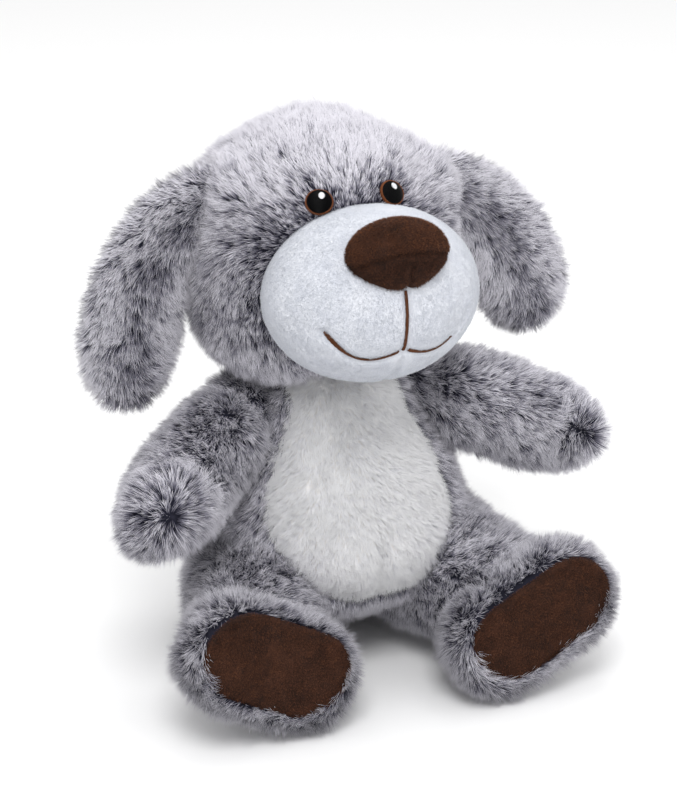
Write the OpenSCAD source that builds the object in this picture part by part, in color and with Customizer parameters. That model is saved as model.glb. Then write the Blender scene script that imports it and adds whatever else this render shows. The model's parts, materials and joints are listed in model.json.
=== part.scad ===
/* [Torso] */
// Radius of the belly at its widest, over the pile
belly_r = 78; // [76:1:80]
// Height of the widest part of the belly
belly_z = 42; // [40:1:44]
// Height of the neck seam above the seat
neck_z = 136; // [134:1:137]
// Backward lean of the torso, in degrees
lean = 5; // [4:0.5:6]

/* [Head] */
// Radius of the skull over the pile
skull_r = 70; // [69:0.5:71]
// Half the width of the muzzle
muzzle_w = 55; // [52:1:57]
// Radius of the muzzle, seen from the side
muzzle_r = 43.5; // [42:0.5:45]
// Half the width of the nose
nose_w = 26; // [25:0.5:28]
// Radius of the nose, seen from the side
nose_r = 18; // [17:0.5:19]
// Radius of an embroidered eye with its outline
eye_r = 6.5; // [6:0.1:7]

/* [Limbs] */
// Length of an arm from the shoulder to the tip of the paw
arm_l = 102; // [98:1:106]
// Radius of an arm at its thickest
arm_r = 25; // [23:1:26]
// Thickness of an ear
ear_t = 17; // [15:1:19]
// Radius of the round part of a foot
foot_r = 29.5; // [28:0.5:30.5]
// Length of the tail
tail_l = 42; // [36:1:48]

/* [Cloth] */
// Thickness of a long-pile panel with its pile
pile = 6; // [5:0.5:6.5]
// Thickness of a short-pile panel with its pile
nap = 3; // [2.5:0.5:3.5]

/* [Hidden] */

// Colours of the cloths and threads
fur = [0.55, 0.55, 0.62];
white_plush = [0.93, 0.93, 0.95];
tummy_plush = [0.92, 0.91, 0.90];
brown_plush = [0.25, 0.14, 0.09];
brown_thread = [0.40, 0.23, 0.13];
copper_thread = [0.50, 0.30, 0.17];
black_thread = [0.05, 0.05, 0.06];
white_thread = [0.95, 0.95, 0.95];
fibre = [0.97, 0.96, 0.93];

far = 400;                                      // longer than the whole toy
fine = 96;                                      // sides of a turned form
gap = 0.5;                                      // room between pieces that move on each other

// Torso: a pear turned about a leaning axis, with a flat seat
collar_r = 36;                                  // radius the pear narrows to at the top
pear_low = -8;                                  // lowest station of the pear, below the seat
pear_top = 150;                                 // highest station of the pear
belly_drop = 58;                                // half-height of the belly's lower half
tummy_top_w = 26;                               // half-widths of the tummy panel, under the chin and widest
tummy_mid_w = 46.5;
tummy_mid_z = 84;                               // height where the tummy panel is widest
tummy_low_z = 46;                               // height of its rounded lower end
crotch_y = -6;                                  // the flat seat ends here, and the cloth rises to the front
crotch_a = 27;                                  // slope of that rise, in degrees
side_seam_y = 14;                               // the side seams, behind the arms

// Neck: a ball of stuffing that the head turns and nods on
neck_c = [0, 14, 140];
neck_r = 20;

// Head
head_c = [0, 18, 209];
muzzle_c = [0, -48, 202];
nose_c = [0, -77, 230];
gusset_w = 13;                                  // half-width of the strip over the head
gusset_z = head_c.z - 10;                       // where the strip ends, front and back
nose_seam = -40;                                // tilt of the seam across the nose: it is high in front
eye_bed = skull_r - 2;                          // distance of an eye's base from the skull's centre
outline_w = 1.3;
stitch_w = 1.2;                                 // half-width of the embroidered mouth line
stitch_h = 1.2;                                 // height of the embroidery above the cloth
smile_r = 1;                                    // radius of the smile's thread ridge
mouth_top = -19;                                // ends of the mouth line, in degrees below forward
mouth_low = 24;
smile_w = 36;                                   // the smile's reach across the muzzle, from its start

// Ears: flat paddles in one upright plane
ear_y = 11;
ear_cloth = 5;

// Arms
shoulder_c = [48, 1, 131];
shoulder_r = 15;                                // radius of the arm's ball end
arm_swell = 48;                                 // length over which the arm widens
paw_taper = 46;                                 // length over which it rounds off to the tip of the paw
arm_room_r = 30;                                // the hollow in the torso that the arm moves in
arm_room_l = 80;                                // reach of the cone that opens round the arm
arm_room_a = 46;                                // half-angle of that cone, in degrees

// Legs
hip_dir = [0.75, -0.643, -0.153];               // the hip seam's plane faces this way
hip_c = [46, -40, 40];
thigh_c = [56, -20, 44];
thigh_r = 38;
foot_roll = 28;                                 // the oval foot leans outward by this much
foot_spread = 17.5;                             // half the oval's extra length
sole_reach = 17;                                // from the middle of the foot forward to the sole
sole_r = 21;                                    // radius of the sole's round ends
sole_up = 5.3;                                  // the sole's middle is this much above the foot's
leg_gap = 0.8;                                  // room between a leg and the torso at the hip seam

// Tail
tail_c = [0, 76, 36];
tail_dir = [0, 0.9, 0.43];
tail_ball = 9;
tail_r = 12;
tail_room_r = 20;                               // the hollow in the torso that the tail wags in

function pear_r(z) =
    z < belly_z
        ? belly_r * sqrt(1 - pow((belly_z - z) / belly_drop, 2))
        : collar_r + (belly_r - collar_r) * cos(90 * (z - belly_z) / (pear_top - belly_z));

function tummy_w(z) =
    z > tummy_mid_z
        ? tummy_top_w + (tummy_mid_w - tummy_top_w)
            * pow(cos(90 * (z - tummy_mid_z) / (pear_top - tummy_mid_z)), 2)
        : tummy_mid_w * sqrt(max(0, 1 - pow((tummy_mid_z - z) / (tummy_mid_z - tummy_low_z), 2)));

// The soft parts sit a little differently on the two sides: s is 1 on the dog's left, -1 on its right
function pick(s, left, right) = s > 0 ? left : right;
function eye_dir(s) = pick(s, [17.5, -55, 38], [21, -53.5, 37.7]);
function ear_lobes(s) =                         // x, z and radius of each lobe
    pick(s, [[62, 230, 17], [94, 200, 24], [116, 168, 25]], [[66, 238, 17], [93, 210, 25], [99, 160, 26]]);
function arm_dir(s) = pick(s, [0.837, -0.466, -0.283], [0.763, -0.527, -0.373]);
function foot_c(s) = pick(s, [64.5, -95, 37.7], [71.5, -87, 37.7]);
function sole_y(s) = foot_c(s).y - sole_reach;

// Radius of a club that starts as a ball: s runs along its length from the ball's centre
function club_r(s, ball, wide, swell, length, tip) =
    s < 0
        ? sqrt(max(0, ball * ball - s * s))
        : (ball + (wide - ball) * pow(sin(90 * min(1, s / swell)), 2))
            * sqrt(max(0, 1 - pow(max(0, s - length + tip) / tip, 2)));

// Turns +Z to the direction d
module aim(d) {
    rotate([0, acos(d.z / norm(d)), atan2(d.y, d.x)]) children();
}

// The dog's left is +X: its right side is the mirror image
module on_side(s) {
    if (s > 0) children();
    else mirror([1, 0, 0]) children();
}

module block(low, high) {
    translate(low) cube(high - low);
}

module club(ball, wide, swell, length, tip, steps = 22) {
    rotate_extrude($fn = fine)
        polygon([
            for (i = [0:steps])
                let (s = -ball + (length + ball) * (1 - cos(180 * i / steps)) / 2)
                    [club_r(s, ball, wide, swell, length, tip), s]
        ]);
}

// An egg turned about the X axis
module bun(half_width, radius, steps = 18) {
    rotate([0, 90, 0])
        rotate_extrude($fn = fine)
            polygon([
                for (i = [0:steps])
                    let (a = 180 * i / steps) [radius * sin(a), -half_width * cos(a)]
            ]);
}

// ---- Torso ----
module torso_form(inset, low) {
    steps = 16;
    intersection() {
        rotate([-lean, 0, 0])
            rotate_extrude($fn = fine)
                polygon(concat(
                    [[0, pear_low]],
                    [for (i = [0:steps])
                        let (z = pear_low + (pear_top - pear_low) * i / steps) [pear_r(z) - inset, z]],
                    [[0, pear_top]]
                ));
        above_seat(low);
    }
}

// The space from the seat up to the neck: the cloth under the belly slopes up to the front
module above_seat(rise) {
    intersection() {
        block([-far, -far, rise], [far, far, neck_z]);
        translate([0, crotch_y, 0]) rotate([-crotch_a, 0, 0]) block([-far, -far, rise], [far, far, far]);
    }
}

module hip_half(offset) {
    translate(hip_c + offset * hip_dir)
        aim(hip_dir)
            block([-far, -far, 0], [far, far, far]);
}

// The hollows that the neck, arms, legs and tail sit in
module torso_rooms() {
    translate(neck_c) sphere(r = neck_r + gap, $fn = fine);
    translate(tail_c) sphere(r = tail_room_r, $fn = fine);
    for (s = [-1, 1])
        on_side(s) {
            hip_half(0);
            translate(shoulder_c) sphere(r = arm_room_r, $fn = fine);
            translate(shoulder_c) aim(arm_dir(s))
                cylinder(h = arm_room_l, r1 = 0, r2 = arm_room_l * tan(arm_room_a), $fn = fine);
        }
}

module torso_cloth() {
    difference() {
        torso_form(0, pile);
        torso_form(pile, pile - 1);
        torso_rooms();
    }
}

module tummy_outline() {
    steps = 10;
    heights = [for (i = [0:steps]) tummy_low_z + (neck_z + 1 - tummy_low_z) * i / steps];
    rotate([90, 0, 0])
        linear_extrude(height = far)
            polygon(concat(
                [for (z = heights) [tummy_w(z), z]],
                [for (i = [steps:-1:0]) [-tummy_w(heights[i]), heights[i]]]
            ));
}

module torso_stuffing() {
    color(fibre)
        difference() {
            torso_form(pile, pile);
            torso_rooms();
        }
}

module tummy_panel() {
    color(tummy_plush)
        intersection() {
            torso_cloth();
            tummy_outline();
        }
}

module torso_side(s) {
    color(fur)
        difference() {
            intersection() {
                torso_cloth();
                on_side(s) block([0, -far, 0], [far, side_seam_y, far]);
            }
            tummy_outline();
        }
}

module back_panel(s) {
    color(fur)
        intersection() {
            torso_cloth();
            on_side(s) block([0, side_seam_y, 0], [far, far, far]);
        }
}

module seat_panel() {
    color(fur)
        difference() {
            torso_form(0, 0);
            above_seat(pile);
            torso_rooms();
        }
}

// ---- Neck ----
module neck_stuffing() {
    color(fibre) translate(neck_c) sphere(r = neck_r, $fn = fine);
}

// ---- Head ----
module skull(inset) {
    translate(head_c) sphere(r = skull_r - inset, $fn = fine);
}

module muzzle(inset) {
    translate(muzzle_c) bun(muzzle_w - inset, muzzle_r - inset);
}

module nose(inset) {
    translate(nose_c) bun(nose_w - inset, nose_r - inset, 14);
}

module neck_room() {
    translate(neck_c) sphere(r = neck_r + gap, $fn = fine);
}

module at_eye(s, out) {
    translate(head_c) aim(eye_dir(s)) translate([0, 0, out]) children();
}

module skull_cloth() {
    difference() {
        skull(0);
        skull(pile);
        muzzle(0);
        neck_room();
        for (s = [-1, 1])
            on_side(s) at_eye(s, eye_bed) cylinder(h = 10, r = eye_r, $fn = fine);
    }
}

module head_stuffing() {
    color(fibre)
        difference() {
            skull(pile);
            neck_room();
        }
}

module head_gusset() {
    color(fur)
        intersection() {
            skull_cloth();
            block([-gusset_w, -far, gusset_z], [gusset_w, far, far]);
        }
}

module head_side(s) {
    color(fur)
        intersection() {
            skull_cloth();
            on_side(s) block([gusset_w, -far, 0], [far, far, far]);
        }
}

module nape_panel() {
    color(fur)
        intersection() {
            skull_cloth();
            block([-gusset_w, head_c.y, 0], [gusset_w, far, gusset_z]);
        }
}

module chin_panel() {
    color(fur)
        intersection() {
            skull_cloth();
            block([-gusset_w, -far, 0], [gusset_w, head_c.y, gusset_z]);
        }
}

// ---- Muzzle, nose and embroidery ----
module muzzle_stuffing() {
    color(fibre)
        difference() {
            muzzle(nap);
            skull(pile);
        }
}

module muzzle_panel(s) {
    color(white_plush)
        on_side(s)
            intersection() {
                difference() {
                    muzzle(0);
                    muzzle(nap);
                    skull(pile);
                }
                block([0, -far, 0], [far, far, far]);
            }
}

module above_nose_seam() {
    translate(nose_c) rotate([nose_seam, 0, 0]) block([-far, -far, 0], [far, far, far]);
}

module nose_cloth() {
    difference() {
        nose(0);
        nose(nap);
        muzzle(0);
    }
}

module nose_stuffing() {
    color(fibre)
        difference() {
            nose(nap);
            muzzle(0);
        }
}

module nose_top_panel() {
    color(brown_plush)
        intersection() {
            nose_cloth();
            above_nose_seam();
        }
}

module nose_front_panel() {
    color(brown_plush)
        difference() {
            nose_cloth();
            above_nose_seam();
        }
}

module eye_pupil(s) {
    color(black_thread) on_side(s) at_eye(s, eye_bed) cylinder(h = 2.6, r = eye_r - outline_w, $fn = fine);
}

module eye_outline(s) {
    color(copper_thread)
        difference() {
            on_side(s)
                at_eye(s, eye_bed)
                    difference() {
                        cylinder(h = 2.9, r = eye_r, $fn = fine);
                        translate([0, 0, -1]) cylinder(h = 5, r = eye_r - outline_w, $fn = fine);
                    }
            muzzle(-0.2);
        }
}

module eye_highlight(s) {
    color(white_thread)
        on_side(s)
            at_eye(s, eye_bed + 2.6)
                translate([-2.2, -1.4, 0]) cylinder(h = 0.5, r = 1.3, $fn = fine);
}

// Runs down the middle of the muzzle from under the nose
module mouth_line() {
    color(brown_thread)
        translate(muzzle_c)
            rotate([0, 90, 0])
                rotate([0, 0, mouth_top - 90])
                    rotate_extrude(angle = mouth_low - mouth_top, $fn = fine)
                        polygon([
                            [muzzle_r + 0.02, -stitch_w], [muzzle_r + 0.02, stitch_w],
                            [muzzle_r + stitch_h, stitch_w], [muzzle_r + stitch_h, -stitch_w]
                        ]);
}

// A point of the smile: t runs from the middle of the muzzle to the corner of the mouth
function smile_x(t) = stitch_w + 1.6 + smile_w * t;
function smile_a(t) = mouth_low + 22 * t - 37 * pow(t, 3);
function smile_point(t) =
    let (
        x = smile_x(t),
        r = muzzle_r * sqrt(1 - pow(x / muzzle_w, 2)) + smile_r + 0.5,
        a = smile_a(t)
    ) [x, -r * cos(a), -r * sin(a)];

module smile(s) {
    steps = 9;
    color(brown_thread)
        on_side(s)
            translate(muzzle_c)
                for (i = [0:steps - 1])
                    hull()
                        for (t = [i, i + 1])
                            translate(smile_point(t / steps)) sphere(r = smile_r, $fn = 10);
}

// ---- Ears ----
module ear_form(s, inset) {
    difference() {
        hull()
            for (lobe = ear_lobes(s))
                translate([lobe[0], ear_y, lobe[1]])
                    scale([1, (ear_t / 2 - inset) / (lobe[2] - inset), 1])
                        sphere(r = lobe[2] - inset, $fn = 28);
        skull(-gap);
    }
}

module ear_panel(s, front) {
    color(fur)
        on_side(s)
            intersection() {
                difference() {
                    ear_form(s, 0);
                    ear_form(s, ear_cloth);
                }
                block([0, front ? -far : ear_y, 0], [far, front ? ear_y : far, far]);
            }
}

module ear_front(s) {
    ear_panel(s, true);
}

module ear_back(s) {
    ear_panel(s, false);
}

module ear_wadding(s) {
    color(fibre) on_side(s) ear_form(s, ear_cloth);
}

// ---- Arms ----
module arm_form(inset) {
    club(shoulder_r - inset, arm_r - inset, arm_swell, arm_l - inset, paw_taper - inset);
}

module arm_panel(s, upper) {
    color(fur)
        on_side(s)
            translate(shoulder_c)
                aim(arm_dir(s))
                    intersection() {
                        difference() {
                            arm_form(0);
                            arm_form(pile - 1);
                        }
                        block([upper ? -far : 0, -far, -far], [upper ? 0 : far, far, far]);
                    }
}

module arm_upper(s) {
    arm_panel(s, true);
}

module arm_lower(s) {
    arm_panel(s, false);
}

module arm_stuffing(s) {
    color(fibre) on_side(s) translate(shoulder_c) aim(arm_dir(s)) arm_form(pile - 1);
}

// ---- Legs ----
// The two ends of an oval that leans outward about the point c
function oval_ends(c) = [for (k = [-1, 1]) c + k * foot_spread * [cos(foot_roll), 0, sin(foot_roll)]];

module leg_form(s, inset, front) {
    intersection() {
        hull() {
            translate(thigh_c) sphere(r = thigh_r - inset, $fn = 28);
            for (end = oval_ends(foot_c(s)))
                translate(end) sphere(r = foot_r - inset, $fn = 28);
        }
        block([-far, front, -far], [far, far, far]);
        hip_half(leg_gap);
    }
}

// The upright plane through the thigh and the foot, where the leg's two panels meet
module leg_outside(s) {
    along = foot_c(s) - thigh_c;
    translate(thigh_c) rotate([0, 0, atan2(along.y, along.x)]) block([-far, 0, -far], [far, far, far]);
}

module leg_cloth(s) {
    difference() {
        leg_form(s, 0, sole_y(s) + nap);
        leg_form(s, pile, sole_y(s) + nap - 1);
    }
}

module leg_outer(s) {
    color(fur)
        on_side(s)
            intersection() {
                leg_cloth(s);
                leg_outside(s);
            }
}

module leg_inner(s) {
    color(fur)
        on_side(s)
            difference() {
                leg_cloth(s);
                leg_outside(s);
            }
}

module leg_stuffing(s) {
    color(fibre) on_side(s) leg_form(s, pile, sole_y(s) + nap);
}

module foot_pad(s) {
    middle = foot_c(s) + [0, nap - sole_reach, sole_up];
    color(brown_plush)
        on_side(s)
            hull()
                for (end = oval_ends(middle))
                    translate(end) rotate([90, 0, 0]) cylinder(h = nap, r = sole_r, $fn = 64);
}

// ---- Tail ----
module tail_form(inset) {
    club(tail_ball - inset, tail_r - inset, tail_l / 2, tail_l - inset, tail_r - inset, 14);
}

module tail_panel(upper) {
    color(fur)
        translate(tail_c)
            aim(tail_dir)
                intersection() {
                    difference() {
                        tail_form(0);
                        tail_form(pile - 1);
                    }
                    block([upper ? -far : 0, -far, -far], [upper ? 0 : far, far, far]);
                }
}

module tail_upper() {
    tail_panel(true);
}

module tail_lower() {
    tail_panel(false);
}

module tail_stuffing() {
    color(fibre) translate(tail_c) aim(tail_dir) tail_form(pile - 1);
}

torso_stuffing();
tummy_panel();
torso_side(1);  // torso_side_left
torso_side(-1);  // torso_side_right
back_panel(1);  // back_panel_left
back_panel(-1);  // back_panel_right
seat_panel();
neck_stuffing();
head_stuffing();
head_gusset();
head_side(1);  // head_side_left
head_side(-1);  // head_side_right
nape_panel();
chin_panel();
muzzle_stuffing();
muzzle_panel(1);  // muzzle_panel_left
muzzle_panel(-1);  // muzzle_panel_right
nose_stuffing();
nose_top_panel();
nose_front_panel();
eye_pupil(1);  // eye_pupil_left
eye_pupil(-1);  // eye_pupil_right
eye_outline(1);  // eye_outline_left
eye_outline(-1);  // eye_outline_right
eye_highlight(1);  // eye_highlight_left
eye_highlight(-1);  // eye_highlight_right
mouth_line();
smile(1);  // smile_left
smile(-1);  // smile_right
ear_front(1);  // ear_front_left
ear_front(-1);  // ear_front_right
ear_back(1);  // ear_back_left
ear_back(-1);  // ear_back_right
ear_wadding(1);  // ear_wadding_left
ear_wadding(-1);  // ear_wadding_right
arm_upper(1);  // arm_upper_left
arm_upper(-1);  // arm_upper_right
arm_lower(1);  // arm_lower_left
arm_lower(-1);  // arm_lower_right
arm_stuffing(1);  // arm_stuffing_left
arm_stuffing(-1);  // arm_stuffing_right
leg_outer(1);  // leg_outer_left
leg_outer(-1);  // leg_outer_right
leg_inner(1);  // leg_inner_left
leg_inner(-1);  // leg_inner_right
leg_stuffing(1);  // leg_stuffing_left
leg_stuffing(-1);  // leg_stuffing_right
foot_pad(1);  // foot_pad_left
foot_pad(-1);  // foot_pad_right
tail_upper();
tail_lower();
tail_stuffing();
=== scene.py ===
"""A sitting plush dog: stuffed skins with their pile modelled as strands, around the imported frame."""
import json
import math

import bpy
import numpy as np
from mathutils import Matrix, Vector


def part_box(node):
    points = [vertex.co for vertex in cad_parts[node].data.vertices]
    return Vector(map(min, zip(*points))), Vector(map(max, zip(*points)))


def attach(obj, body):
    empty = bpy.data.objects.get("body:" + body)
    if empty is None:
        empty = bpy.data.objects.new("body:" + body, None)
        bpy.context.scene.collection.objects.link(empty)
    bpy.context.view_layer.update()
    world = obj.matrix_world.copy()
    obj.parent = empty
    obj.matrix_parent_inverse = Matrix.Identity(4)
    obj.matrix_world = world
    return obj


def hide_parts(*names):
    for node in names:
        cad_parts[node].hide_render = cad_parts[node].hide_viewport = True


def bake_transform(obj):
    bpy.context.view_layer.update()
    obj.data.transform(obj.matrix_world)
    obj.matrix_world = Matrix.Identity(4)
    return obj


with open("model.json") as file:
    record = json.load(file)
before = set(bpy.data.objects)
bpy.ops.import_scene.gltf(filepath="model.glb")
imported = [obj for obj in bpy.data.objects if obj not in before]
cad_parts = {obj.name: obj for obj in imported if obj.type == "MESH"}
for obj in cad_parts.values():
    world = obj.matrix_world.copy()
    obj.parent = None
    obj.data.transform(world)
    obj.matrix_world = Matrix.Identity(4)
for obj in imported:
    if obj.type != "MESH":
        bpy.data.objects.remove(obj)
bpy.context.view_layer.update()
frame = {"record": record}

MM = 0.001
SIDES = {"left": 1, "right": -1}                # the dog's left is +X
UP = np.array([0.0, 0.0, 1.0])

# ---------------------------------------------------------------- places, from the frame
JOINTS = {j["name"]: j for j in frame["record"]["behaviour"]["joints"]}


def corners(node):
    low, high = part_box(node)
    return np.array(low), np.array(high)


def middle(node):
    low, high = corners(node)
    return (low + high) / 2


def pivot(joint):
    return np.array(JOINTS[joint]["pos_m"])


def unit(v):
    v = np.asarray(v, float)
    return v / np.maximum(np.linalg.norm(v, axis=-1, keepdims=True), 1e-12)


PILE_DEPTH = 5.5 * MM                           # how far a long-pile skin lies inside the frame's solid
skull_low, skull_high = corners("head_stuffing")
SKULL_R = (skull_high[0] - skull_low[0]) / 2
SKULL = np.array([0, (skull_low[1] + skull_high[1]) / 2, skull_high[2] - SKULL_R])
muzzle_low, muzzle_high = corners("muzzle_panel_left")
MUZZLE_W = muzzle_high[0]
MUZZLE_R = (muzzle_high[2] - muzzle_low[2]) / 2
MUZZLE = np.array([0, muzzle_low[1] + MUZZLE_R, (muzzle_low[2] + muzzle_high[2]) / 2])
NOSE_W = corners("nose_top_panel")[1][0]
NOSE_R = 0.69 * NOSE_W
NOSE_TOP = corners("nose_top_panel")[1][2]
NOSE_FRONT = min(corners("nose_top_panel")[0][1], corners("nose_front_panel")[0][1])
NOSE = np.array([0, NOSE_FRONT + NOSE_R, NOSE_TOP - NOSE_R])
NECK = pivot("head_turn")
BELLY_R = corners("torso_side_left")[1][0]
TORSO_TOP = corners("torso_stuffing")[1][2]
TAIL = pivot("tail_wag")


# ---------------------------------------------------------------- small maths
def hashed(cells, salt):
    """A repeatable random number from 0 to 1 for each row of whole numbers."""
    c = cells.astype(np.int64).astype(np.uint64)
    h = c[:, 0] * np.uint64(73856093) ^ c[:, 1] * np.uint64(19349663) ^ c[:, 2] * np.uint64(83492791)
    h = (h ^ np.uint64(salt * 2654435761 % 2**32)) * np.uint64(0x9E3779B97F4A7C15)
    h = (h ^ (h >> np.uint64(29))) * np.uint64(0xBF58476D1CE4E5B9)
    h = h ^ (h >> np.uint64(32))
    return (h & np.uint64(0xFFFFFF)).astype(float) / float(0x1000000)


def smooth_noise(p, size, salt):
    """Smooth noise from -1 to 1 at points p, with features of about size metres."""
    q = p / size
    base = np.floor(q)
    f = q - base
    f = f * f * (3 - 2 * f)
    total = np.zeros(len(p))
    for corner in np.ndindex(2, 2, 2):
        step = np.array(corner)
        weight = np.prod(np.where(step, f, 1 - f), axis=1)
        total += weight * hashed(base + step, salt)
    return total * 2 - 1


def nearest_tuft(p, size, salt):
    """The middle and the cell of the tuft nearest to each point, on a jittered grid.

    The grid's cells are size metres wide.
    """
    base = np.floor(p / size)
    best = np.full(len(p), np.inf)
    centre = np.zeros_like(p)
    cell = np.zeros_like(p)
    for corner in np.ndindex(3, 3, 3):
        c = base + np.array(corner) - 1
        jitter = np.stack([hashed(c, salt + k) for k in range(3)], axis=1)
        q = (c + jitter) * size
        d = ((q - p) ** 2).sum(axis=1)
        nearer = d < best
        best[nearer] = d[nearer]
        centre[nearer] = q[nearer]
        cell[nearer] = c[nearer]
    return centre, cell


def smoothstep(x, low, high):
    t = np.clip((x - low) / (high - low), 0, 1)
    return t * t * (3 - 2 * t)


def union(a, b, k):
    """Smooth union of two distance fields, rounded over about k metres."""
    h = np.clip(0.5 + 0.5 * (b - a) / k, 0, 1)
    return b * (1 - h) + a * h - k * h * (1 - h)


def both(a, b, k):
    """Smooth intersection of two distance fields."""
    return -union(-a, -b, k)


def egg(p, centre, radii):
    """Distance field of an ellipsoid, near enough for finding its surface."""
    q = p - np.asarray(centre)
    radii = np.asarray(radii, float)
    k0 = np.linalg.norm(q / radii, axis=-1)
    k1 = np.linalg.norm(q / radii**2, axis=-1)
    return k0 * (k0 - 1) / np.maximum(k1, 1e-9)


def rod(p, a, b, ra, rb=None):
    """Distance field of a rod from a to b whose radius goes from ra to rb."""
    a, b = np.asarray(a, float), np.asarray(b, float)
    rb = ra if rb is None else rb
    h = np.clip(((p - a) @ (b - a)) / ((b - a) @ (b - a)), 0, 1)
    return np.linalg.norm(p - a - h[:, None] * (b - a), axis=1) - (ra + (rb - ra) * h)


def dent(distance, width, depth):
    """A rounded furrow: depth where distance is 0, gone a little past width."""
    return depth * np.exp(-(distance / width) ** 2)


# ---------------------------------------------------------------- meshes
def mesh_object(name, verts, quads, tris=(), material=None, uv=None, normals=None):
    verts = np.asarray(verts, np.float32)
    quads = np.asarray(quads, np.int32).reshape(-1, 4)
    tris = np.asarray(tris, np.int32).reshape(-1, 3)
    mesh = bpy.data.meshes.new(name)
    mesh.vertices.add(len(verts))
    mesh.vertices.foreach_set("co", verts.ravel())
    loops = np.concatenate([quads.ravel(), tris.ravel()])
    mesh.loops.add(len(loops))
    mesh.loops.foreach_set("vertex_index", loops)
    starts = np.concatenate([np.arange(len(quads)) * 4, len(quads) * 4 + np.arange(len(tris)) * 3])
    mesh.polygons.add(len(starts))
    mesh.polygons.foreach_set("loop_start", starts.astype(np.int32))
    mesh.update(calc_edges=True)
    mesh.polygons.foreach_set("use_smooth", np.ones(len(mesh.polygons), bool))
    if uv is not None:
        layer = mesh.uv_layers.new(name="OFBake")
        layer.data.foreach_set("uv", np.asarray(uv, np.float32)[loops].ravel())
    if normals is not None:
        mesh.normals_split_custom_set_from_vertices(np.asarray(normals, np.float32))
    obj = bpy.data.objects.new(name, mesh)
    bpy.context.collection.objects.link(obj)
    if material:
        mesh.materials.append(material)
    return obj


class Skin:
    """A closed form given as rings of points from one pole to the other."""

    def __init__(self, rings):
        rings = np.asarray(rings, float)
        rows, cols = rings.shape[:2]
        body = rings[1:-1].reshape(-1, 3)
        self.verts = np.vstack([body, rings[0].mean(axis=0), rings[-1].mean(axis=0)])
        n = len(body)
        i, j = (a.ravel() for a in np.meshgrid(np.arange(rows - 3), np.arange(cols), indexing="ij"))
        k = (j + 1) % cols
        self.quads = np.stack([i * cols + j, i * cols + k, (i + 1) * cols + k, (i + 1) * cols + j], axis=1)
        j = np.arange(cols)
        k = (j + 1) % cols
        last_row = (rows - 3) * cols
        start_cap = np.stack([np.full(cols, n), k, j], axis=1)
        end_cap = np.stack([np.full(cols, n + 1), last_row + j, last_row + k], axis=1)
        self.tris = np.vstack([start_cap, end_cap])
        q = self.quads
        self.faces = np.vstack([q[:, [0, 1, 2]], q[:, [0, 2, 3]], self.tris])
        a, b, c = (self.verts[self.faces[:, k]] for k in range(3))
        cross = np.cross(b - a, c - a)
        self.areas = np.linalg.norm(cross, axis=1) / 2
        normals = np.zeros_like(self.verts)
        for k in range(3):
            np.add.at(normals, self.faces[:, k], cross)
        if ((a - self.verts.mean(axis=0)) * cross).sum() < 0:
            normals = -normals
            self.quads = self.quads[:, ::-1]
            self.tris = self.tris[:, ::-1]
            self.faces = self.faces[:, ::-1]
        self.normals = unit(normals)

    def object(self, name, material):
        return mesh_object(name, self.verts, self.quads, self.tris, material)

    def scatter(self, per_mm2, rng):
        """Random points on the surface, with their normals."""
        count = int(self.areas.sum() / MM**2 * per_mm2)
        face = rng.choice(len(self.faces), count, p=self.areas / self.areas.sum())
        w = rng.dirichlet((1, 1, 1), count)
        f = self.faces[face]
        p = (self.verts[f] * w[:, :, None]).sum(axis=1)
        return p, unit((self.normals[f] * w[:, :, None]).sum(axis=1))


def cast(field, centre, directions, reach=0.16):
    """The point where each ray from centre leaves the form, or where it ends, at reach metres."""
    low, high = np.zeros(len(directions)), np.full(len(directions), reach)
    for _ in range(22):
        mid = (low + high) / 2
        inside = field(centre + directions * mid[:, None]) < 0
        low = np.where(inside, mid, low)
        high = np.where(inside, high, mid)
    return centre + directions * low[:, None]


def star(field, centre, rows=110, cols=160, pole=(0, 0, 1)):
    """A closed form that every ray from centre leaves once: the zero surface of field."""
    up = unit(pole)
    side = unit(np.cross(up, (0, 1, 0) if abs(up[1]) < 0.9 else (1, 0, 0)))
    out = np.cross(up, side)
    a = np.linspace(0, math.pi, rows)[:, None]
    b = np.linspace(0, 2 * math.pi, cols, endpoint=False)[None, :]
    d = (np.sin(a) * np.cos(b))[..., None] * side + (np.sin(a) * np.sin(b))[..., None] * out
    d = (d + (np.cos(a) * np.ones_like(b))[..., None] * up).reshape(-1, 3)
    return Skin(cast(field, centre, d).reshape(rows, cols, 3))


def swept(centres, wide, thick, wide_dirs, thick_dirs, cols=56):
    """A closed form of oval rings along a line of centres."""
    b = np.linspace(0, 2 * math.pi, cols, endpoint=False)[None, :, None]
    rings = centres[:, None] + wide[:, None, None] * np.cos(b) * wide_dirs[:, None]
    return Skin(rings + thick[:, None, None] * np.sin(b) * thick_dirs[:, None])


# ---------------------------------------------------------------- pile
THIRD_TURN = 2.094                              # radians between the three sides of a strand


def at(value, p):
    return value(p) if callable(value) else np.full(len(p), float(value))


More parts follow.
